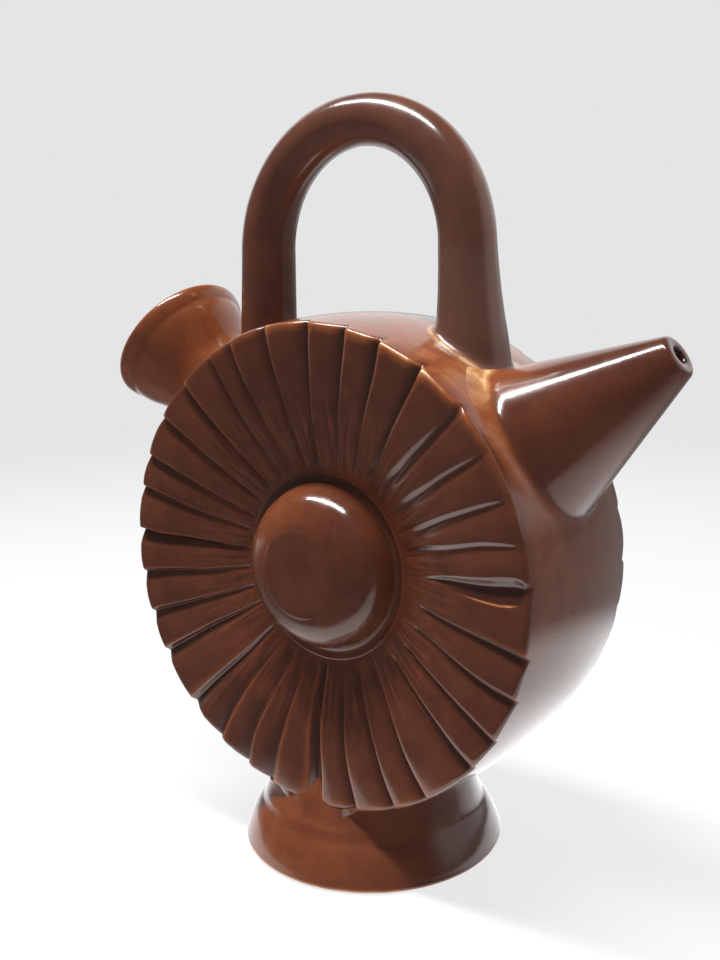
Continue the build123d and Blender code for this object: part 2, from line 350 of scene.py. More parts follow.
def make_glaze():
    """Honey-brown lead glaze over red clay: dark where glaze gathers, rust where it thins, tan and cream on
    bare crests, and paler, pinker and rougher towards the handle's right leg. The same dark also paints
    shade, and the rust, tan, cream and pink also paint light and highlights."""
    material = bpy.data.materials.new("honey_brown_glaze")
    material.use_nodes = True
    r = Recipe(material.node_tree)
    place = r.node("ShaderNodeTexCoord", None, None, "Object")
    clouds = r.ramp(r.noise(place, 16, 3), 0.35, 0.68)
    mottle = r.ramp(r.noise(place, 120, 4), 0.32, 0.7)
    speckle = r.noise(place, 1500, 2)

    # Runs of glaze down the inner ends of the gouges, as streaks round the drum's axis
    across = r.node("ShaderNodeSeparateXYZ", None, {0: place}, "X") - drum_x
    upward = r.node("ShaderNodeSeparateXYZ", None, {0: place}, "Z") - drum_z
    distance = (across * across + upward * upward) ** 0.5
    turn = upward.worked("ARCTAN2", upward, across)
    polar = r.node("ShaderNodeCombineXYZ", None, {0: turn * 34, 1: distance * 60})
    streaks = r.noise(polar, 1.0, 3)
    on_ribs = r.ramp(distance, 37.2 * MM, 40 * MM) * r.ramp(distance, 78 * MM, 45 * MM)

    thin, deep_and_shaded, matt_and_lit = r.mask("thin_glaze_and_painted_light"), r.mask("deep_glaze_and_painted_shade"), r.mask("matt_glaze_and_painted_light")
    body = r.mix(clouds, dark_honey, light_honey)
    body = r.mix(mottle * 0.35, body, mottled_honey)
    # The darkening mask marks gathered glaze, and it also carries painted shade: the round gouges' lower
    # walls, the top of the boss valley and the spout's bore.
    body = r.mix((deep_and_shaded * (0.65 + mottle * 0.3)).clipped(), body, pooled_and_shaded_brown)
    body = r.mix(r.ramp(streaks, 0.5, 0.68) * on_ribs * 0.6, body, rusty_streak)
    body = r.mix(r.ramp(streaks, 0.48, 0.34) * on_ribs * 0.55, body, dark_streak)
    uneven = thin * (0.9 + mottle * 0.2) + r.ramp(thin, 0.4, 0.7) * (mottle - 0.5) * 0.25
    rust = r.ramp(uneven, 0.05, 0.6)
    # The thin-glaze mask also carries painted light: the lit sides of the boss, filler, foot and drum wall,
    # and painted highlights along the rim and a gouge lip.
    body = r.mix(rust * 0.8, body, thin_rust_and_painted_light)
    body = r.mix(r.ramp(uneven, 0.5, 1.0) * 0.8, body, bare_tan_and_painted_highlight)
    body = r.mix(r.ramp(uneven, 1.0, 1.35), body, bare_cream_and_painted_highlight)
    body = r.mix(matt_and_lit * 0.65, body, dulled_and_lit_pink)
    grains = r.ramp(speckle, 0.6, 0.74) * (0.12 + rust * 0.3)
    body = r.mix(grains, body, pale_grain)
    dark_grains = r.ramp(speckle, 0.4, 0.3) * 0.3
    body = r.mix(dark_grains, body, brown_grain)
    peel = r.noise(place, 260, 2) * 0.6 + r.noise(place, 45, 2) * 1.2
    bump = r.node("ShaderNodeBump", None, {"Strength": 0.3, "Distance": 0.25 * MM, "Height": peel})
    roughness = 0.15 + mottle * 0.06 + rust * 0.04 + matt_and_lit * 0.12
    shader = r.node("ShaderNodeBsdfPrincipled", None, {
        "Base Color": body, "Roughness": roughness, "Coat Weight": 0.3, "Coat Roughness": 0.05,
        "Normal": bump})
    r.node("ShaderNodeOutputMaterial", None, {"Surface": shader})
    return material


glaze = make_glaze()


# Gouged faces

# Gouges of the front face: angle from +X towards +Z, tilt and bow in degrees, width and depth in
# millimetres, and the share of the width on the clockwise side.
front_gouges = (
    (3.6, 0.6, 0, 10.6, 2.3, 0.61), (14.2, -1.1, 0, 6, 0.9, 0.68), (23, -0.5, 0, 6.2, 1, 0.68),
    (34.4, -1.2, 0, 6.2, 1.1, 0.66), (45.6, -2.4, 1.4, 6.6, 1.5, 0.6), (56.6, -0.5, 1, 7, 2.4, 0.24),
    (67, 1, 0, 7, 2.1, 0.24), (77.8, -0.4, 0, 7, 1.9, 0.22), (89.2, -1.4, 0, 7.5, 1.9, 0.22),
    (101.1, 0.3, 0, 8, 1.8, 0.22), (112.8, 0.3, 0, 8, 1.8, 0.22), (120.6, 0, 0, 6.5, 1.6, 0.24),
    (132.3, 0, 0, 8.5, 2.3, 0.24), (143.8, 0, 0, 8, 1.9, 0.22), (155.4, 0, 0, 8, 1.9, 0.22),
    (164.8, 0, 0, 8, 1.8, 0.22), (176.6, 0, 0, 9, 3.3, 0.22), (188, 0, 0, 8.5, 2.0, 0.22),
    (199.2, 0, 0, 8.5, 2.1, 0.22), (210, 0, 0, 9, 2.5, 0.25), (226.2, -0.8, 0, 9, 2.4, 0.3),
    (236, 0, 1.2, 10.5, 1.6, 0.78), (246.2, -0.5, 1.8, 11, 1.7, 0.78), (255.3, 0, 0.5, 10.5, 1.7, 0.78),
    (269.2, 0.8, 0.4, 9, 3.1, 0.5), (281.4, 0, 1.4, 8, 2.3, 0.76), (292.9, 0.7, 0.6, 8, 2.4, 0.76),
    (303.6, -0.5, 1, 8.5, 2.5, 0.78), (318.2, 0.5, 0.6, 11, 2.2, 0.8), (328.2, 0, 0, 8.5, 1.9, 0.78),
    (339, 0, 0.5, 8.5, 1.9, 0.78), (349.4, -0.4, 0, 8.5, 1.9, 0.78),
)
# Round-bottomed gouges of the front face, by number: where each ends and the length of its run-out. All but
# the last stop short of the rim
round_gouge_ends = {0: (91.2, 6), 1: (90, 13), 2: (90, 13), 3: (90.5, 15), 4: (120, 6)}


def back_gouges():
    """Gouges of the hidden face: as many, all with a crisp crest, and unevenly spaced."""
    step = 360 / len(front_gouges)
    return [((i + random.uniform(-0.14, 0.14)) * step, random.uniform(-0.8, 0.8), random.uniform(0, 0.8),
             random.uniform(7, 9.5), random.uniform(1.8, 3), random.choice((0.24, 0.28, 0.74)))
            for i in range(len(front_gouges))]


def dish_depth(radius):
    """Depth of the face's dish behind its rim plane."""
    inward = np.clip(rim_radius - radius, 0, None) / MM
    return (0.0571 * inward + 0.002554 * inward ** 2) * MM


def petal_share(radii):
    """How far out a radius lies on a petal, from 0 at the ring to 1 at the rim."""
    return np.clip((radii - ring_radius) / (rim_radius - ring_radius), 0, 1)


def gouge_runs(gouges, ends, radii, side):
    """Each gouge at each radius: the angle of its middle line, its reach to the clockwise and to the other
    side, and its depth."""
    angle, tilt, bow, width, depth, lean = (np.array(column, float) for column in zip(*gouges))
    outward = (radii - 65 * MM) / (27 * MM)
    centre = np.radians(angle[:, None] + tilt[:, None] * outward + bow[:, None] * (outward ** 2 - 0.3))
    wiggle = [[noise.noise(Vector((7.3 * i, r * 45, side))) for r in radii] for i in range(len(gouges))]
    centre = centre + np.radians(0.8) * np.array(wiggle)
    is_round = np.isin(np.arange(len(gouges)), list(ends))
    grown = petal_share(radii)
    depth_here = depth[:, None] * MM * (0.3 + 0.7 * grown ** 0.8)
    begin = (36 + 9 * np.clip(np.cos(np.radians(angle - 10)), 0, 1)[:, None]) * MM
    depth_here = depth_here * smooth_step(begin, begin + 5 * MM, radii)
    width_here = width[:, None] * MM * (0.42 + 0.58 * grown)

    # Round-bottomed gouges start further out, and the scooped ones among them, past the first, start wide
    start = smooth_step(43 * MM, 55 * MM, radii)
    scooped = is_round & (angle > 10)
    widening = np.where(scooped[:, None], smooth_step(32 * MM, 46 * MM, radii) * (1.1 - 0.25 * grown),
                        np.clip((radii / MM - 43) / 38, 0.14, 1) ** 0.8)
    start = np.where(scooped[:, None], smooth_step(38 * MM, 56 * MM, radii), start)
    round_depth = depth[:, None] * MM * start * np.minimum(widening, 1)
    depth_here = np.where(is_round[:, None], round_depth, depth_here)
    width_here = np.where(is_round[:, None], width[:, None] * MM * widening, width_here)
    for number, (reach, run) in ends.items():
        stop = np.sqrt(np.clip(1 - np.clip((radii / MM - reach + run) / run, 0, 1) ** 2, 0, 1))
        depth_here[number] *= stop
        width_here[number] *= 0.45 + 0.55 * stop
    return centre, width_here * lean[:, None], width_here * (1 - lean[:, None]), depth_here


def face(name, node, gouges, ends, side):
    """A dished disc of petals parted by gouges, with its rim turned back to the seam with the drum's wall."""
    radii = np.concatenate([np.linspace(ring_radius - 1.5 * MM, rim_radius - 9 * MM, 74, endpoint=False),
                            np.linspace(rim_radius - 9 * MM, rim_radius - rim_round, 34)])
    gouges = sorted(gouges)
    centre, clockwise, counter, depth_here = gouge_runs(gouges, ends, radii, side)
    grown = petal_share(radii)
    lean = [gouge[-1] for gouge in gouges]
    is_round = [number in ends for number in range(len(gouges))]

    # Columns: up one side of a gouge, over the petal and down into the next gouge
    wall_shares = np.array([0, 0.1, 0.22, 0.36, 0.5, 0.64, 0.78, 0.9, 0.97])
    petal_shares = np.linspace(0, 1, 9, endpoint=False)
    count = len(gouges)
    columns, depths, thins, pools_and_shade = [], [], [], []
    for i in range(count):
        j = (i + 1) % count
        gap = (centre[j] - centre[i]) % (2 * math.pi)
        first, last = counter[i] / radii, clockwise[j] / radii
        crowd = np.minimum(1, 0.92 * gap / (first + last))
        first, last = first * crowd, last * crowd
        walls = ((i, first, 1, wall_shares), (j, last, -1, wall_shares[::-1]))
        for gouge, reach, direction, shares in walls:
            if direction < 0:
                for share in petal_shares:
                    spread = first + (gap - first - last) * share
                    crown = 4 * share * (1 - share)
                    columns.append(centre[i] + spread)
                    depths.append(-0.35 * MM * crown * grown)
                    edge_i = hard_edge(lean[i], 1) * (1 - smooth_step(0.0, 0.2, share)) * (not is_round[i])
                    edge_j = hard_edge(lean[j], -1) * smooth_step(0.8, 1.0, share) * (not is_round[j])
                    thins.append((edge_i + edge_j) * 0.36 * (0.4 + 0.6 * grown))
                    pools_and_shade.append(0 * radii)
            for share in shares:
                soft = 1 - hard_edge(lean[gouge], direction) * (not is_round[gouge])
                if is_round[gouge]:
                    fall = 0.6 * (1 - share) + 0.4 * (0.5 + 0.5 * math.cos(math.pi * share))
                else:
                    slope = (1 - share) ** 2 * (1 + 0.9 * share)
                    wall = 0.5 + 0.5 * math.cos(math.pi * share)
                    fall = soft * slope + (1 - soft) * (0.25 * (1 - share) + 0.75 * wall)
                place = centre[i] + reach * share if direction > 0 else centre[i] + gap - reach * share
                columns.append(place)
                depths.append(depth_here[gouge] * fall)
                thin_here = (1 - soft) * 0.36 * smooth_step(0.5, 1.0, share) * (0.4 + 0.6 * grown)
                # A light line along the lower lip of the round gouges, strongest on the first: thin glaze on
                # the edge, and partly a painted highlight.
                if is_round[gouge] and direction < 0:
                    lip = 1.2 * (1 - smooth_step(84 * MM, 89.5 * MM, radii)) if gouge == 0 else 0.12
                    on_lip = smooth_step(0.8, 0.9, share) * (share < 0.95) * smooth_step(0.4, 0.7, grown)
                    thin_here = thin_here + lip * on_lip
                if is_round[gouge]:
                    thin_here = thin_here * np.clip(depth_here[gouge] / (2 * MM), 0, 1)
                thins.append(thin_here)
                # Glaze gathers darker in each gouge. On the lower wall of the round gouges the darkening is
                # painted shade, and on the first gouge it is kept dark right up to the lip.
                thick = fall
                if is_round[gouge] and direction < 0:
                    thick = 1 - smooth_step(0.84, 0.92, share) if gouge == 0 else 0.8 * fall
                pools_and_shade.append(thick * np.clip(depth_here[gouge] / (1.9 * MM), 0, 1))
    theta, relief = np.array(columns).T, np.array(depths).T
    thin, pool_and_shade = np.array(thins).T, np.array(pools_and_shade).T

    # Glaze wears thin along the rim, broadly at the top. A lighter line along the bottom of the rim is a
    # painted highlight, and so is a light line on the rim by the spout.
    steep = math.radians(80)
    wear_and_highlight = (0.1 + 0.9 * np.clip(np.cos(theta - steep), 0, 1) ** 2
            + 0.5 * np.clip(np.cos(theta + steep), 0, 1) ** 6)
    painted_highlight_line = 0.4 * hump(np.degrees(theta[-1]) % 360, 57, 16)
    # The lower half of the face is made a little lighter.
    thin = thin + 0.07 * smooth_step(0.1, 0.7, -np.sin(theta))
    by_rim = smooth_step(rim_radius - 5 * MM, rim_radius - 1.5 * MM, radii)[:, None]
    thin = thin + 0.42 * by_rim * (1 - pool_and_shade) * wear_and_highlight
    depth_grid = dish_depth(radii)[:, None] + relief

    # The hand leaves no surface quite true
    wander = np.array([[noise.noise(Vector((r * math.cos(a), r * math.sin(a), 0)) * 55) for a in row]
                       for r, row in zip(radii, theta)]) * 0.28 * MM
    depth_grid = depth_grid + wander * smooth_step(ring_radius, ring_radius + 8 * MM, radii)[:, None]

    # The rim: a rounded edge, then the side back to the seam
    edge_theta, edge_depth = theta[-1], depth_grid[-1]
    rings = [np.stack([np.broadcast_to(radii[:, None], theta.shape), theta, depth_grid], -1)]
    masks_thin, masks_pool_and_shade = [thin], [pool_and_shade]
    side_radius = barrel_radius(half_width - edge_depth - rim_round)
    for turn in np.linspace(0, math.pi / 2, 9)[1:]:
        radius = side_radius - rim_round + rim_round * math.sin(turn)
        back = edge_depth + rim_round * (1 - math.cos(turn))
        rings.append(np.stack([radius, edge_theta, back], -1)[None])
        masks_thin.append((thin[-1] + (0.1 * wear_and_highlight[-1] + painted_highlight_line) * math.sin(turn * 2) ** 2)[None])
        masks_pool_and_shade.append(pool_and_shade[-1:] * 0.6 * math.cos(turn))
    for share in np.linspace(0, 1, 7)[1:]:
        back = edge_depth + rim_round + (seam_depth - edge_depth - rim_round) * share
        rings.append(np.stack([barrel_radius(half_width - back), edge_theta, back], -1)[None])
        masks_thin.append((thin[-1] * (1 - share) + share * wall_warmth(edge_theta))[None])
        masks_pool_and_shade.append(0 * pool_and_shade[-1:])
    # The hidden inside
    inside = ((rim_radius - clay_wall, seam_depth), (rim_radius - 25 * MM, seam_depth + 5.5 * MM),
              (ring_radius - 1.5 * MM, ring_depth + clay_wall))
    for radius, back in inside:
        rings.append(np.stack([radius + 0 * edge_depth, edge_theta, back + 0 * edge_depth], -1)[None])
        masks_thin.append(0 * thin[-1:])
        masks_pool_and_shade.append(0 * pool_and_shade[-1:])
    polar = np.vstack(rings)
    radius, turn, back = polar[..., 0], polar[..., 1], polar[..., 2]
    grid = np.stack([drum_x + side * radius * np.cos(turn), -side * (half_width - back),
                     drum_z + radius * np.sin(turn)], -1)
    return build(name, grid, node, np.vstack(masks_thin), np.vstack(masks_pool_and_shade))


def wall_warmth(turn):
    """How thin the glaze lies on the drum's wall round its axis: thinnest between handle and spout. The
    warmer patch right of the face's rim, under the spout, is painted light.
    """
    degrees = (np.degrees(turn) + 180) % 360 - 180
    return (0.1 + 0.2 * smooth_step(0.1, 0.6, np.sin(turn)) + 0.3 * hump(degrees, 54, 18)
            + 0.14 * hump(degrees, 8, 26))


def hard_edge(lean, direction):
    """1 where a gouge's wall on this side is steep, with a crisp crest, and 0 where it is a gentle slope."""
    share = lean if direction < 0 else 1 - lean
    return 1.0 if share < 0.45 or lean == 0.5 else 0.0


face("front_petals", "front_face", front_gouges, round_gouge_ends, 1)
face("back_petals", "back_face", back_gouges(), {}, -1)


# Bosses

def boss(name, node, side):
    """A hollow dome with a soft flat cap, a valley round it and a thin bead."""
    outline = [(0, 15.7), (6, 15.8), (12, 15.95), (15.6, 15.9), (17.4, 15.45), (19.8, 14.85), (22.8, 13.75),
               (25.4, 12.3), (27.6, 10.5), (29.4, 8.2), (30.7, 5.6), (31.6, 3), (32.15, 1.2), (32.5, 0.25),
               (32.9, -0.1), (34.2, -0.35), (35.5, 0), (36.2, 0.18), (36.9, 0.05), (37.8, -0.45),
               (38.2, -1.4)]
    curve = smooth_curve(outline, 7) * MM
    curve[:, 0] = np.clip(curve[:, 0], 0.02 * MM, None)
    inner = np.array([(35, -5), (26.9, -4), (22, 5), (14, 9.5), (0.02, 10.5)]) * MM
    profile = np.vstack([curve, inner])
    turn = full_turn(256)
    radius, height = profile[:, :1], profile[:, 1:]
    wobble = 1 + 0.0035 * np.sin(2 * turn + 0.6) * smooth_step(4 * MM, 20 * MM, radius)
    grid = np.stack([drum_x + side * radius * wobble * np.cos(turn),
                     -side * (half_width - ring_depth + height) + 0 * turn,
                     drum_z + radius * wobble * np.sin(turn)], -1)
    reach = radius / MM
    bead = hump(reach, 36.3, 0.6) * (height > 0)
    valley = hump(reach, 34.2, 1.6)
    # The dome's upper left is painted lighter and more orange: painted light, carried in the thin-glaze mask.
    lit = np.clip(np.cos(turn - math.radians(128)), 0, 1) * smooth_step(12, 22, reach)
    lit = lit * (1 - smooth_step(30, 34, reach))
    # The valley is darkened most at the top and not at all at the bottom: gathered glaze, and painted shade.
    return build(name, grid, node, 0.2 * bead + 0.32 * lit, valley * (0.45 + 0.45 * np.sin(turn)))


boss("front_dome", "front_boss", 1)
boss("back_dome", "back_boss", -1)


# Drum wall

spout_spoke = spoke_frame(spout_angle, 1)
filler_spoke = spoke_frame(filler_angle, -1)


def drum():
    """The barrel wall between the two faces, with a hole under the spout and one under the filler."""
    rows, columns = 66, 600
    y, turn = np.meshgrid(np.linspace(seam_depth - half_width, half_width - seam_depth, rows),
                          full_turn(columns), indexing="ij")
    quads = ring_quads(rows, columns)[:-1]
    gone = np.zeros(quads.shape[:2], bool)
    for angle, radius in ((spout_angle, 10 * MM), (math.pi - filler_angle, 16 * MM)):
        u, v = (turn - angle) * belly_radius, y
        corners = quads.reshape(-1, 4)
        middle = np.hypot(u.ravel()[corners].mean(1), v.ravel()[corners].mean(1)).reshape(gone.shape)
        inside = middle < radius
        counts = [np.bincount(quads[part].ravel(), minlength=rows * columns) for part in (inside, ~inside)]
        edge = ((counts[0] > 0) & (counts[1] > 0)).reshape(rows, columns)
        reach = np.hypot(u, v)
        turn = np.where(edge, angle + u / reach * radius / belly_radius, turn)
        y = np.where(edge, v / reach * radius, y)
        gone |= inside
    skins = []
    for inset in (0, clay_wall):
        radius = barrel_radius(y) - inset
        skins.append(np.stack([drum_x + radius * np.cos(turn), y, drum_z + radius * np.sin(turn)], -1))
    shift = rows * columns
    kept = quads[~gone]
    faces = [kept, kept[:, ::-1] + shift]
    for row in (0, rows - 1):
        here = row * columns + np.arange(columns)
        beside = row * columns + (np.arange(columns) + 1) % columns
        faces.append(np.stack([here, beside, beside + shift, here + shift], -1))
    for first, second, step in ((0, 1, (-1, 0)), (1, 2, (0, 1)), (2, 3, (1, 0)), (3, 0, (0, -1))):
        bare = gone & ~np.roll(gone, (-step[0], -step[1]), (0, 1))
        here, beside = quads[bare][:, first], quads[bare][:, second]
        faces.append(np.stack([here, beside, beside + shift, here + shift], -1))
    thin = np.vstack([wall_warmth(turn), 0 * turn])
    return build("barrel_wall", np.vstack(skins), "drum_wall", thin, quads=np.vstack(faces))


drum()


# Spout

def spout():
    """A straight cone with a small drinking hole, luted to the drum in a soft fillet."""
    origin, along = spout_spoke[:2]
    turn = full_turn(spoke_points)
    out = round_spoke(turn, spout_spoke)
    slope = (spout_root_radius - spout_tip_radius) / (spout_reach - rim_radius)

    def radius_at(reach):
        return spout_tip_radius + (spout_reach - reach) * slope

    def side(reach):
        return origin + reach[:, None] * along + radius_at(reach)[:, None] * out

    def centre(reach):
        return origin + reach[:, None] * along

    ones = np.ones(len(turn))
    soft = np.clip(0.5 + 0.7 * np.cos(turn + 1.1), 0, 1)
    flare, start = root_flare(side, centre, 70 * MM * ones, 120 * MM * ones, (2.6 + 2.4 * soft) * MM,
                              (2.2 + 6 * soft) * MM, 16)
    tip_round = 2.4 * MM
    lean = math.atan(slope)
    end = spout_reach - tip_round * (1 + math.sin(lean))
    body = [side(start + (end - start) * share) for share in np.linspace(0, 1, 40)[1:]]
    round_centre = (end - tip_round * math.sin(lean), radius_at(end) - tip_round * math.cos(lean))
    profile = [(round_centre[0] + tip_round * math.sin(a), round_centre[1] + tip_round * math.cos(a))
               for a in np.linspace(lean, math.pi / 2, 10)[1:]]
    top = profile[-1][0]
    bore = spout_bore_radius
    profile += [(top - 0.1 * MM, bore + 0.9 * MM), (top - 0.4 * MM, bore + 0.3 * MM), (top - 1 * MM, bore),
                (top - 8 * MM, bore), (top - 20 * MM, bore + 4.5 * MM), (100 * MM, 17 * MM),
                (93 * MM, 11 * MM)]
    grid = np.vstack([flare, body, turned(profile, spout_spoke)])
    rows = np.arange(len(grid))
    reach = np.concatenate([np.zeros(len(flare)), np.linspace(0, 1, len(body)), np.ones(len(profile))])
    band = 0.32 * hump(rows, 9, 3.5)[:, None] * np.clip(0.3 + 0.8 * np.cos(turn + 0.8), 0, 1)
    half_turn = (turn + math.pi) % (2 * math.pi) - math.pi
    bare = 0.42 * hump(half_turn, -1.2, 0.6) * hump(rows, 10.5, 1.6)[:, None]
    upper = np.sin(-turn - 0.2)
    warm = 0.22 * smooth_step(0.0, 0.8, upper) * (1 - 0.8 * smooth_step(0.0, 0.9, reach))[:, None]
    warm = warm + 0.26 * smooth_step(0.3, 1, upper) * (1 - smooth_step(0.0, 0.4, reach))[:, None]
    thin = skirt_glaze(grid, 16, (band + bare) * (rows < 19)[:, None] + warm)
    # The last rows, inside the bore at the tip, are darkened as painted shade.
    build("spout_cone", grid, "spout", thin * (rows < len(flare) + len(body))[:, None],
          0.9 * smooth_step(len(grid) - 9, len(grid) - 6, rows)[:, None])


spout()


# Filler mouth

def filler():
    """A waisted neck that opens into a bell with a thick lip and a groove under the lip."""
    origin, along = filler_spoke[:2]
    turn = full_turn(spoke_points)
    out = round_spoke(turn, filler_spoke)

    def side(reach):
        return origin + reach[:, None] * along + filler_neck_radius * out

    def centre(reach):
        return origin + reach[:, None] * along

    ones = np.ones(len(turn))
    flare, start = root_flare(side, centre, 70 * MM * ones, 120 * MM * ones, 6 * MM, 6 * MM, 14)
    outline = smooth_curve([(103, 20.6), (108, 21.8), (113, 24.1), (118.5, 26.9), (122.5, 28.5),
                            (125.3, 29.2), (127, 30.1), (129.3, 31.05), (131.2, 31.25), (132.7, 30.4),
                            (133.7, 28.9), (133.75, 27.6), (132.6, 26.3), (127, 22.9), (120, 18.6),
                            (113.5, 15.8), (108.5, 14.5)], 6) * MM
    body = [side(start + (filler_neck_end - start) * share) for share in (0.35, 0.7)]
    profile = np.vstack([outline, [(96.5 * MM, filler_bore_radius), (93 * MM, 16.5 * MM)]])
    grid = np.vstack([flare, body, turned(profile, filler_spoke)])
    rows = np.arange(len(grid))
    reach = np.concatenate([np.zeros(len(flare) + len(body)), outline[:, 0] / MM, [90, 90]])
    is_out = rows < len(flare) + len(body) + 66
    groove = hump(reach, 124.8, 1.6) * is_out
    lip = hump(reach, 133, 0.9)
    thin = np.where(rows < 17, hump(rows, 9.0, 4) * 0.3, 0) + 0.3 * lip
    thin += is_out * (0.26 + 0.14 * (1 - smooth_step(104, 119, reach)))
    # The filler's upper side is painted lighter and warmer: painted light, carried in the thin-glaze mask.
    painted_light_above = 0.2 * smooth_step(0.1, 1, np.sin(turn)) * is_out[:, None]
    thin = (thin[:, None] + painted_light_above) * smooth_step(3, 12, rows)[:, None] + skirt_glaze(grid, 12, 0)
    build("bell_mouth", grid, "filler_mouth", thin, 0.6 * groove[:, None])


filler()


# Handle

def handle():
    """A pulled roll of clay arched over the drum, thicker at its feet, with each foot smoothed on."""
    turn = full_turn(96)
    leg_bottom = 180 * MM
    fall = crown_height - leg_bottom
    heights = np.array([180, 192, 203, 211.6, 220, 229, 237]) * MM
    radii = {-1: np.array([12.9, 12.2, 11.7, 11.45, 11.25, 11.1, 11.0]) * MM,
             1: np.array([15.6, 14.2, 13.2, 12.1, 11.3, 10.8, 10.5]) * MM}

    def leg(sign):
        def core(z):
            down = (crown_height - z) / fall
            return np.stack([drum_x + sign * (crown_radius + leg_splay * down), 0 * z, z], -1)

        def surface(z):
            radius = np.interp(z, heights, radii[sign])
            return core(z) + radius[:, None] * np.stack([sign * -np.cos(turn), np.sin(turn), 0 * turn], -1)
        return core, surface

    def leg_rings(sign):
        core, surface = leg(sign)
        ones = np.ones(len(turn))
        flare, start = root_flare(surface, core, 181 * MM * ones, 225 * MM * ones, 4.5 * MM, 4.5 * MM, 12)
        shares = np.linspace(0, 1, 22)[1:]
        upper = [surface(start + (crown_height - 0.2 * MM - start) * share) for share in shares]
        return flare, np.array(upper)

    left_flare, left_leg = leg_rings(-1)
    right_flare, right_leg = leg_rings(1)
    crown = []
    crown_angles = np.linspace(math.pi, 0, 66)[1:-1]
    shares = np.interp(crown_angles, [0, 0.4, 0.8, 1.2, math.pi / 2, 2.0, 2.4, 2.8, math.pi],
                       [1.117, 1.1, 1.08, 1.03, 1.0, 1.04, 1.09, 1.15, 1.17])
    for angle, share in zip(crown_angles, shares):
        middle = np.array([drum_x + crown_radius * math.cos(angle), 0,
                           crown_height + crown_radius * math.sin(angle)])
        inward = np.array([-math.cos(angle), 0, -math.sin(angle)])
        ring = middle + grip_radius * share * (np.cos(turn)[:, None] * inward
                                               + np.sin(turn)[:, None] * np.array([0, 1.0, 0]))
        crown.append(ring)
    grid = np.vstack([left_flare, left_leg, crown, right_leg[::-1], right_flare[::-1]])
    rows = np.arange(len(grid))
    thin = np.zeros(grid.shape[:2])
    for edge, bare in ((8.5, 0.6), (len(grid) - 7.5, 0.9)):
        thin += (hump(rows, edge, 2) * bare)[:, None]
    left, right = len(left_flare) + len(left_leg), len(grid) - len(right_flare) - len(right_leg)
    on_left_leg = (rows <= left)[:, None]
    thin += 0.45 * hump(turn, math.pi, 0.35) * on_left_leg
    thin += 0.3 * hump(turn, math.pi, 0.7) * ~on_left_leg
    # The dulling mask makes the handle paler, pinker and rougher towards its right leg: the paler pink is
    # painted light.
    matt_and_lit = np.interp(rows, [left - 20, left, right, right + 4], [0.1, 0.15, 0.35, 0.6])
    thin += skirt_glaze(grid, 12, 0) + skirt_glaze(grid[::-1], 12, 0)[::-1]
    build("handle_roll", grid, "handle", thin, matt_and_lit=matt_and_lit[:, None])


handle()


# Foot

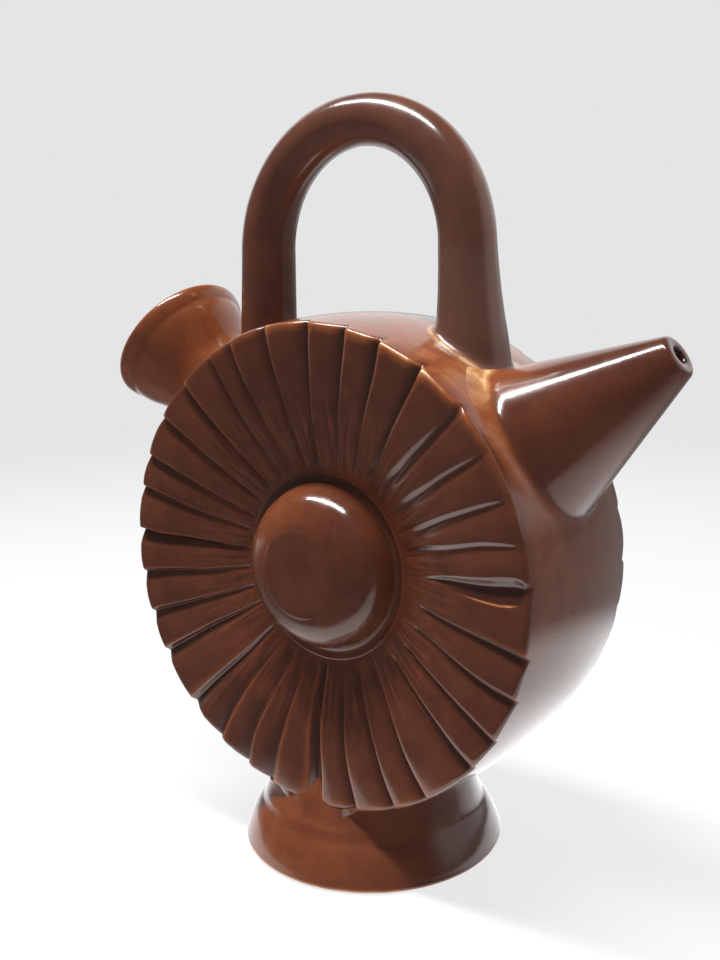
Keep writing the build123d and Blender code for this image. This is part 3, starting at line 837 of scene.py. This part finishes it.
def foot():
    """A thrown bell with a short leaning neck, open underneath, luted to the drum by hand."""
    turn = full_turn(300)
    out = np.stack([np.cos(turn), np.sin(turn), 0 * turn], -1)
    base = np.array([drum_x, 0, 0])
    edge = foot_reach - 0.05 * MM
    neck_heights = np.array([16, 18, 22, 26, 34]) * MM
    neck_radii = np.array([45.2, 44.5, 43.2, 41.9, 39.4]) * MM

    def side(z):
        pressed = 1 - 0.04 * smooth_step(17 * MM, 23 * MM, z) * np.sin(turn) ** 4
        radius = np.interp(z, neck_heights, neck_radii) * pressed
        return base + radius[:, None] * out + z[:, None] * np.array([0, 0, 1.0])

    def upward(reach):
        return side(-reach)

    def core(reach):
        return base - reach[:, None] * np.array([0, 0, 1.0])

    # Under the drum the neck flares onto its skin
    ones, steps = np.ones(len(turn)), 12
    flare, start = root_flare(upward, core, -60 * MM * ones, -12 * MM * ones, 3 * MM, 3.5 * MM, steps)
    reach = half_width - 2.6 * MM
    flare[..., 1] = np.clip(flare[..., 1], -reach, reach)

    # At the front and the back it folds in under the petals' edge. In front a tongue of clay runs up into
    # the deepest gouge, and a pressed seam follows the petals' edge on both sides of it
    front = np.where(np.sin(turn) < 0, -1.0, 1.0)
    near = np.degrees(turn) - np.where(front < 0, 270, 90)
    tongue = np.where(front < 0, smooth_step(-17, -8, near) * (1 - smooth_step(0, 24, near)), 0)
    seam = smooth_step(-6, 8, near) * (1 - smooth_step(14, 36, near))
    seam = seam + 0.6 * smooth_step(-36, -26, near) * (1 - smooth_step(-16, -6, near))
    folded = (smooth_step(-40, -31, near) * (1 - smooth_step(40, 52, near)))[:, None]
    x = side(25 * MM * ones)[:, 0]
    petal_edge = drum_z - np.sqrt(rim_radius ** 2 - (x - drum_x) ** 2)
    shoulder_height = (1 - tongue) * (petal_edge - (0.3 + 3.4 * seam) * MM) + tongue * 23.5 * MM
    shoulder, below = side(shoulder_height), side(shoulder_height - 1.5 * MM)
    proud = np.abs(shoulder[:, 1])
    lip_reach = (1 - tongue) * 38.4 * MM + tongue * 39.4 * MM
    end_reach = (1 - tongue) * np.minimum(35.5 * MM, proud - 1 * MM) + tongue * 34.2 * MM
    lip = np.stack([x, front * lip_reach, (1 - tongue) * (petal_edge + 0.3 * MM) + tongue * 28.4 * MM], -1)
    end = np.stack([x, front * end_reach, (1 - tongue) * (petal_edge + 1.2 * MM) + tongue * 37 * MM], -1)
    fold = [end + np.array([0, 0, 3 * MM]), end + np.array([0, 0, 1.5 * MM]), end]
    for first, last, shares in ((end, lip, (0.5, 0.9)), (lip, shoulder, (0, 0.12, 0.4, 0.75, 0.95)),
                                (shoulder, below, (0, 0.1, 0.3, 0.65, 1))):
        fold += [first + (last - first) * share for share in shares]
    rings = list((1 - folded) * flare + folded * np.array(fold))
    rings.reverse()
    low_edge = rings[0][:, 2]
    inner = [(31, 35.5), (17, 38.8), (6, 43.4), (1.2, 45.5), (0.3, 46), (0, 46.8)]
    for height, radius in inner:
        rings.append(base + radius * MM * out + np.array([0, 0, height * MM]))
    outline = smooth_curve([(0, 51.4), (0.25, 52.2), (1.1, edge / MM), (2.4, 52.6), (5, 51.7), (8, 50.4),
                            (11, 48.9), (13.4, 47.3), (15, 46), (16, 45.35), (17.4, 44.75), (19, 44.18)], 5)
    for height, radius in outline:
        rings.append(base + radius * MM * out + np.array([0, 0, height * MM]))
    neck_start = outline[-1, 0] * MM
    for share in (0.35, 0.7):
        rings.append(side(neck_start + (low_edge - neck_start) * share))
    grid = np.array(rings)
    heights = grid[:, :, 2] / MM
    is_outside = (np.arange(len(rings)) >= steps + 9)[:, None]
    # The foot's front-left side is painted warmer and lighter: painted light, carried in the thin-glaze mask.
    warm = 0.3 * (0.5 + 0.5 * np.cos(turn - math.radians(235))) ** 1.5
    thin = 0.9 * hump(heights, 0.9, 0.7) * is_outside + warm
    build("foot_bell", grid, "foot", np.clip(thin, 0, 1))


foot()


# Studio

floor_reach = 3.0
paper_level = 0.96
backdrop_level = 0.79
backdrop_tint = (0.985, 0.99, 1.0, 1)
front_dimness = 0.1


def floor():
    """A pale floor that the jug stands on. Far off it takes the backdrop's own shade. In the glaze it shows
    bright close to the jug and behind it, and dim in front, to the left and far off."""
    mesh = bpy.data.meshes.new("studio_floor")
    signs = ((-1, -1), (1, -1), (1, 1), (-1, 1))
    mesh.from_pydata([(x * floor_reach, y * floor_reach, 0) for x, y in signs], [], [(0, 1, 2, 3)])
    sheet = bpy.data.objects.new("studio_floor", mesh)
    bpy.context.scene.collection.objects.link(sheet)
    material = bpy.data.materials.new("studio_paper")
    material.use_nodes = True
    r = Recipe(material.node_tree)
    place = r.node("ShaderNodeTexCoord", None, None, "Object")
    away = r.node("ShaderNodeVectorMath", {"operation": "LENGTH"}, {0: place}, "Value")
    far = r.ramp(away, 0.35, 1.5)
    camera_ray = r.ray("Camera")
    paper = r.node("ShaderNodeBsdfPrincipled", None, {"Base Color": (0.8, 0.8, 0.81, 1), "Roughness": 0.6})
    strength = paper_level - far * (paper_level - backdrop_level)
    glow = r.node("ShaderNodeEmission", None, {"Color": backdrop_tint, "Strength": strength})
    both = r.node("ShaderNodeMixShader", None, {0: camera_ray * (0.8 + far * 0.2), 1: paper, 2: glow})

    # What the glaze mirrors of the floor
    leftward = r.along(place, (-1, 0, 0))
    near = r.ramp(r.along(place, (0, 1, 0)), -0.13, -0.105) * (1 - 0.85 * r.ramp(away, 0.21, 0.34))
    near = near * (1 - 0.8 * r.ramp(leftward, 0.08, 0.18))
    close = 1 - r.ramp(away, 0.09, 0.16)
    beyond = r.ramp(r.along(place, (0.3, 1, 0)), -0.02, 0.12)
    behind = 0.7 * r.ramp(r.along(place, (-0.6, 0.8, 0)), 0.25, 0.6) * r.ramp(leftward, -0.1, 0.2)
    sheen = front_dimness + behind + near * (0.95 + 0.3 * beyond + 0.5 * close)
    mirrored = r.node("ShaderNodeEmission", None, {"Color": backdrop_tint, "Strength": sheen})
    seen = r.node("ShaderNodeMixShader", None, {0: r.ray("Glossy"), 1: both, 2: mirrored})
    r.node("ShaderNodeOutputMaterial", None, {"Surface": seen})
    mesh.materials.append(material)


def lamp(name, direction, distance, size, power, spread):
    """A soft rectangular lamp that looks down at the jug. Its long side lies level."""
    middle = Vector((drum_x, 0, 140 * MM))
    light = bpy.data.lights.new(name, "AREA")
    light.shape, light.size, light.size_y = "RECTANGLE", size[0], size[1]
    light.energy, light.spread = power, math.radians(spread)
    stand = bpy.data.objects.new(name, light)
    away = Vector(direction).normalized()
    stand.location = middle + away * distance
    upright = away.cross(Vector((1, 0, 0))).normalized()
    aim = Matrix([upright.cross(away), upright, away]).transposed()
    stand.rotation_euler = aim.to_euler()
    bpy.context.scene.collection.objects.link(stand)


def world():
    """A surround that is bright behind the jug and dim in front of it. The camera sees a plain backdrop."""
    surround = bpy.data.worlds.new("studio_surround")
    surround.use_nodes = True
    bpy.context.scene.world = surround
    r = Recipe(surround.node_tree)
    look = r.node("ShaderNodeTexCoord", None, None, "Generated")
    height = r.along(look, (0, 0, 1))
    rightward = r.along(look, (1, 0, 0))
    bright = r.ramp(r.along(look, (0.05, 1, 0)), 0.0, 0.35) * (1 - 0.3 * r.ramp(rightward, 0.2, 0.6))
    bright = bright * r.ramp(height, 0.74, 0.6) * (0.15 + 0.85 * r.ramp(height, 0.0, 0.2))
    camera_ray = r.ray("Camera")
    light = front_dimness + bright * (0.95 + 0.75 * r.ray("Diffuse"))
    strength = camera_ray * backdrop_level + (1 - camera_ray) * light
    shader = r.node("ShaderNodeBackground", None, {"Color": backdrop_tint, "Strength": strength})
    r.node("ShaderNodeOutputWorld", None, {"Surface": shader})


def camera():
    """The photograph's view."""
    back = Vector((math.sin(camera_azimuth) * math.cos(camera_elevation),
                   -math.cos(camera_azimuth) * math.cos(camera_elevation), math.sin(camera_elevation)))
    right = Vector((math.cos(camera_azimuth), math.sin(camera_azimuth), 0))
    up = back.cross(right)
    turned_right = right * math.cos(camera_roll) + up * math.sin(camera_roll)
    turned_up = up * math.cos(camera_roll) - right * math.sin(camera_roll)
    lens = bpy.data.cameras.new("view")
    lens.sensor_width = film_width
    lens.lens = film_width * focal_share
    lens.clip_start = 0.01
    stand = bpy.data.objects.new("view", lens)
    aim = Matrix([turned_right, turned_up, back]).transposed().to_4x4()
    aim.translation = camera_target + back * camera_distance
    stand.matrix_world = aim
    bpy.context.scene.collection.objects.link(stand)
    bpy.context.scene.camera = stand


floor()
lamp("overhead_softbox", direction=(-0.21, -0.19, 1), distance=1.6, size=(1.45, 0.17),
     power=13.3, spread=90)
world()
camera()
bpy.context.scene.view_settings.view_transform = "Standard"
